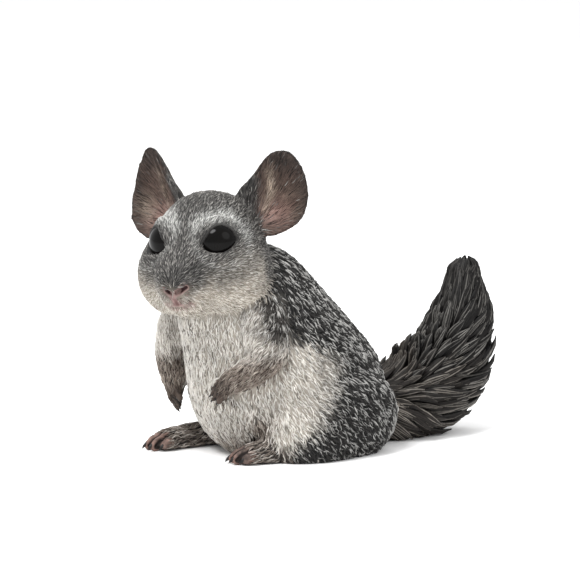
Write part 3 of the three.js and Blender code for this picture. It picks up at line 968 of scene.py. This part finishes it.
def tailCoat():
    draw = np.random.default_rng(51)
    rows, around, stations = tailLocks["rows"], tailLocks["around"], tailLocks["stations"]
    count = rows * around
    start = np.repeat(np.linspace(*tailLocks["starts"], rows), around) + draw.normal(0, 0.012, count)
    turn = np.tile(np.arange(around) / around, rows) * 2 * pi
    turn = turn + np.repeat(np.arange(rows) % 2, around) * pi / around + draw.normal(0, 0.07, count)
    turn = (turn + pi) % (2 * pi) - pi
    run = tailLocks["run"] * draw.uniform(0.7, 1.25, count)
    run = np.minimum(run, (tailLocks["furthest"] - start) * draw.uniform(0.5, 1.0, count))
    inmost, least, most = tailLocks["reach"]
    edge = draw.uniform(least, most, count) + 0.09 * noiseAt(onTail(start, turn, 1.0), 1.3, 77)
    width = tailLocks["width"] * draw.uniform(0.7, 1.3, count)
    towards = np.interp(np.abs(turn), tailLocks["parting"], tailLocks["towards"]) * np.sign(turn)
    sweep = towards * draw.uniform(0.3, 0.75, count) * np.minimum(1, np.abs(np.sin(turn)) * 1.4)
    uvs = skinUv[nearestOnSkin(onTail(start, turn, tailLine["coreShare"]))]
    base = smoothStep(0.55, 0.1, start + draw.normal(0, 0.1, count))[:, None]
    black, brown = (palette[names.index(name)] for name in ("tailBlack", "tailBrown"))
    coatsOfTail = (1 - base)[:, :, None] * black + base[:, :, None] * brown
    wash = coatsOfTail[:, 0]
    profile, peaks, tops = tailLocks["profile"], tailLocks["peaks"], []
    for peak in peaks:
        lit = (draw.random(count) < tailLocks["lit"]) * draw.uniform(0.3, 1.0, count) * (peak > 0.5)
        lit = lit * (1 - 0.6 * smoothStep(0.6, 0.9, start)) * (1 - 0.4 * smoothStep(2.0, 2.8, np.abs(turn)))
        tops.append(coatsOfTail[:, 1] + (coatsOfTail[:, 2] - coatsOfTail[:, 1]) * lit[:, None])
    rings, levels, paintOf, spots = [], [], [], []
    for k in range(stations):
        share = k / (stations - 1)
        place = start + run * share
        angle = turn + sweep * share**1.6
        reach = inmost + (edge - inmost) * (1 - (1 - share) ** 1.5)
        here = onTail(place, angle, reach)
        ahead = onTail(place + 0.008, turn + sweep * (share + 0.04) ** 1.6, reach + 0.012)
        heading = unit(ahead - here)
        past = np.clip((place - 1) * tailLength, 0, tailLine["cap"])[:, None]
        at, along = tailFrame(place)[:2]
        outwards = unit(here - at - along * past * 0.4)
        beside = unit(np.cross(outwards, heading))
        normal = np.cross(heading, beside)
        taper = np.interp(share, [0, 0.2, 0.65, 0.88, 1], tailLocks["taper"])
        for (u, h), peak, top in zip(profile, peaks, tops):
            high = h * tailLocks["thick"] * taper
            rings.append(here + beside * (u * width * taper / 2)[:, None] + normal * high)
            levels.append(np.full(count, peak))
            paintOf.append(top)
            spots.append(uvs + np.array([(share - 0.5) * patch, u * patch / 2]))
    lowest, tone = tailLocks["lowest"], draw.random(count)
    return paintedTubes("coatTail", rings, stations, lowest, wash, paintOf, levels, tone, spots)


tailBrush = tailCoat()
say(f"coatTail of {len(trianglesOf(tailBrush))} triangles")


# Eyes: glossy beads behind the lids
def makeEye(side):
    bpy.ops.object.select_all(action="DESELECT")
    bpy.ops.mesh.primitive_uv_sphere_add(segments=64, ring_count=32, radius=1.0)
    bead = bpy.context.view_layer.objects.active
    bead.name = f"bead_{side}"
    middle, back, out, up = eyeAxes(side)
    shaped = placesOf(bead) * mm * np.array(eyePlan["radii"])
    setPlaces(bead, middle + shaped[:, :1] * back + shaped[:, 1:2] * out + shaped[:, 2:] * up)
    pointOutwards(bead)
    bpy.ops.object.shade_smooth()
    return bead


eyes = {side: makeEye(side) for side in bothSides}

# Claws: small dark hooks at the ends of the toes and fingers, of a radius and a length
clawPlan = {"foot": (0.32, 0.85), "hand": (0.18, 0.55), "curve": 0.5, "stations": 6, "sides": 10}


def hook(root, ahead, down, radius, length):
    stations, sides = clawPlan["stations"], clawPlan["sides"]
    rows = []
    for k in range(stations):
        share = k / (stations - 1)
        middle = root + ahead * length * share + down * length * clawPlan["curve"] * share**2
        way = unit(ahead + down * 0.7 * share)
        beside = unit(np.cross(way, down))
        over = np.cross(beside, way)
        size = radius * (1 - share) ** 0.6 + 0.03
        turns = np.linspace(0, 2 * pi, sides, endpoint=False)[:, None]
        rows.append(middle + np.cos(turns) * beside * size * 0.8 + np.sin(turns) * over * size)
    return np.concatenate(rows)


def makeClaws():
    hooks = []
    down = np.array([0, 0, -1.0])
    for side in bothSides:
        ball, ahead, across = footFrame(side)
        for aside, long, thick in feet["toes"]:
            root = ball + ahead * (long + thick * 0.45) + across * aside * 1.1 - down * 0.95
            hooks.append(hook(root, unit(ahead + down * 0.25), down, *clawPlan["foot"]))
        palm, ahead, across, over = handFrame(side)
        for aside, long in hands["fingers"]:
            root = palm + ahead * (long + 0.15) + across * aside * 1.3 - over * 0.45
            hooks.append(hook(root, ahead, -over, *clawPlan["hand"]))
    rows = np.concatenate(hooks)
    rows[:, 2] = np.maximum(rows[:, 2], floorGap)
    claws = meshObject("claws", rows, prismFaces(len(hooks), clawPlan["stations"], clawPlan["sides"]))
    pointOutwards(claws)
    return claws


claws = makeClaws()
say("eyes and claws made")


# Finishes
def newMaterial(name, roughness, specular):
    material = bpy.data.materials.new(name)
    material.use_nodes = True
    nodes = material.node_tree.nodes
    shader = nodes["Principled BSDF"]
    shader.inputs["Roughness"].default_value = roughness
    shader.inputs["Specular IOR Level"].default_value = specular
    return material, nodes, material.node_tree.links, shader


def feed(links, value, socket):
    if hasattr(value, "is_output"):
        links.new(value, socket)
    else:
        socket.default_value = value


def mixNode(nodes, links, factor, a, b, blend="MIX"):
    mix = nodes.new("ShaderNodeMix")
    mix.data_type = "RGBA"
    mix.blend_type = blend
    for value, socket in ((factor, mix.inputs[0]), (a, mix.inputs[6]), (b, mix.inputs[7])):
        feed(links, value, socket)
    return mix.outputs[2]


def mathNode(nodes, links, operation, a, b):
    node = nodes.new("ShaderNodeMath")
    node.operation = operation
    node.use_clamp = True
    feed(links, a, node.inputs[0])
    feed(links, b, node.inputs[1])
    return node.outputs[0]


def noiseNode(nodes, links, vector, scale, detail):
    noise = nodes.new("ShaderNodeTexNoise")
    noise.inputs["Scale"].default_value = scale
    noise.inputs["Detail"].default_value = detail
    links.new(vector, noise.inputs["Vector"])
    return noise.outputs[0]


furFinish = {
    "roughness": 0.6,
    "specular": 0.22,
    "brushScale": 1600,  # the broken edge of the dry brush
    "brushFrom": 0.35,
    "brushBreak": 0.84,
    "gain": 1.4,
    "sharpness": 1.35,
    "grimeScale": 330,
    "grime": (0.9, 0.5),  # how much it varies, and the least of it
    "bump": 0.2,
    "bumpDepth": 0.00012,
}


def furMaterial():
    finish = furFinish
    material, nodes, links, shader = newMaterial("paintedFur", finish["roughness"], finish["specular"])

    def calc(operation, a, b):
        return mathNode(nodes, links, operation, a, b)

    paintIn, washIn = nodes.new("ShaderNodeAttribute"), nodes.new("ShaderNodeAttribute")
    paintIn.attribute_name, washIn.attribute_name = "paint", "wash"
    coords = nodes.new("ShaderNodeTexCoord").outputs["Object"]
    brush = noiseNode(nodes, links, coords, finish["brushScale"], 3)
    grime = noiseNode(nodes, links, coords, finish["grimeScale"], 4)
    broken = calc("MULTIPLY", calc("SUBTRACT", brush, finish["brushFrom"]), finish["brushBreak"])
    level = calc("MULTIPLY", calc("SUBTRACT", paintIn.outputs["Alpha"], broken), finish["gain"])
    level = calc("POWER", level, finish["sharpness"])
    colour = mixNode(nodes, links, level, washIn.outputs["Color"], paintIn.outputs["Color"])
    varied, least = finish["grime"]
    shade = calc("ADD", calc("MULTIPLY", grime, varied), least)
    grey = nodes.new("ShaderNodeCombineColor")
    for socket in grey.inputs[:3]:
        links.new(shade, socket)
    colour = mixNode(nodes, links, 1.0, colour, grey.outputs[0], "MULTIPLY")
    links.new(colour, shader.inputs["Base Color"])
    bump = nodes.new("ShaderNodeBump")
    bump.inputs["Strength"].default_value = finish["bump"]
    bump.inputs["Distance"].default_value = finish["bumpDepth"]
    links.new(brush, bump.inputs["Height"])
    links.new(bump.outputs[0], shader.inputs["Normal"])
    return material


def glossMaterial(name, colour, mottle, roughness, specular):
    material, nodes, links, shader = newMaterial(name, roughness, specular)
    coords = nodes.new("ShaderNodeTexCoord").outputs["Object"]
    cloud = noiseNode(nodes, links, coords, 500, 3)
    mixed = mixNode(nodes, links, cloud, (*colour, 1), (*mottle, 1))
    links.new(mixed, shader.inputs["Base Color"])
    return material


fur = furMaterial()
for obj in [skin, tailBrush] + coats:
    obj.data.materials.clear()
    obj.data.materials.append(fur)
eyeGloss = glossMaterial("eyeGloss", linear(5, 5, 5), linear(13, 11, 10), 0.12, 0.1)
for obj in eyes.values():
    obj.data.materials.append(eyeGloss)
claws.data.materials.append(glossMaterial("clawBlack", linear(14, 12, 12), linear(34, 29, 27), 0.35, 0.3))
say("painted")

# What stands for what
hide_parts(*skinPlan["parts"])
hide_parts("tail")
for side, bead in eyes.items():
    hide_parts(f"eye_{side}")
for obj in [skin, tailBrush, claws, *coats, *eyes.values()]:
    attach(obj, "root")

# Camera, light and floor
studio = {
    "azimuth": 60,
    "elevation": 8,
    "distance": 450,
    "lookAt": (1.0, 0.0, 24.0),
    "lens": 187.1,  # millimetres on a 36 mm sensor
    "floorWhite": 0.97,
    "sky": 1.03,
    "floorHalf": 4000,
    "lamps": [("keyLight", 20, 58, 500, 220, 2.2), ("fillLight", 110, 30, 600, 400, 0.7),
              ("backLight", 230, 60, 600, 400, 0.8)],  # azimuth, elevation, distance, size, watts
}


def lookFrom(azimuth, elevation):
    a, e = radians(azimuth), radians(elevation)
    return np.array([sin(a) * cos(e), -cos(a) * cos(e), sin(e)])


def stand(name, data, target, way, distance):
    holder = bpy.data.objects.new(name, data)
    holder.location = Vector(target + way * distance * mm)
    holder.rotation_euler = Vector(-way).to_track_quat("-Z", "Y").to_euler()
    bpy.context.scene.collection.objects.link(holder)
    return holder


def makeStudio():
    target = (np.array(studio["lookAt"]) + bodyMiddle) * mm
    camera = bpy.data.cameras.new("camera")
    camera.lens, camera.sensor_width = studio["lens"], 36
    camera.clip_start, camera.clip_end = 0.01, 20
    way = lookFrom(studio["azimuth"], studio["elevation"])
    bpy.context.scene.camera = stand("camera", camera, target, way, studio["distance"])
    for name, azimuth, elevation, distance, size, power in studio["lamps"]:
        lamp = bpy.data.lights.new(name, "AREA")
        lamp.shape, lamp.size, lamp.energy = "DISK", size * mm, power
        stand(name, lamp, target, lookFrom(azimuth, elevation), distance)
    corners = np.array([[-1.0, -1, 0], [1, -1, 0], [1, 1, 0], [-1, 1, 0]]) * studio["floorHalf"]
    floor = meshObject("floor", corners, [[0, 1, 2, 3]])
    material, _, _, shader = newMaterial("paleFloor", 0.9, 0.1)
    shader.inputs["Base Color"].default_value = (studio["floorWhite"],) * 3 + (1,)
    floor.data.materials.append(material)
    world = bpy.data.worlds.new("studio")
    world.use_nodes = True
    sky = world.node_tree.nodes["Background"]
    sky.inputs["Color"].default_value = (1, 1, 1, 1)
    sky.inputs["Strength"].default_value = studio["sky"]
    bpy.context.scene.world = world
    bpy.context.scene.view_settings.view_transform = "Standard"


makeStudio()
say("studio set")
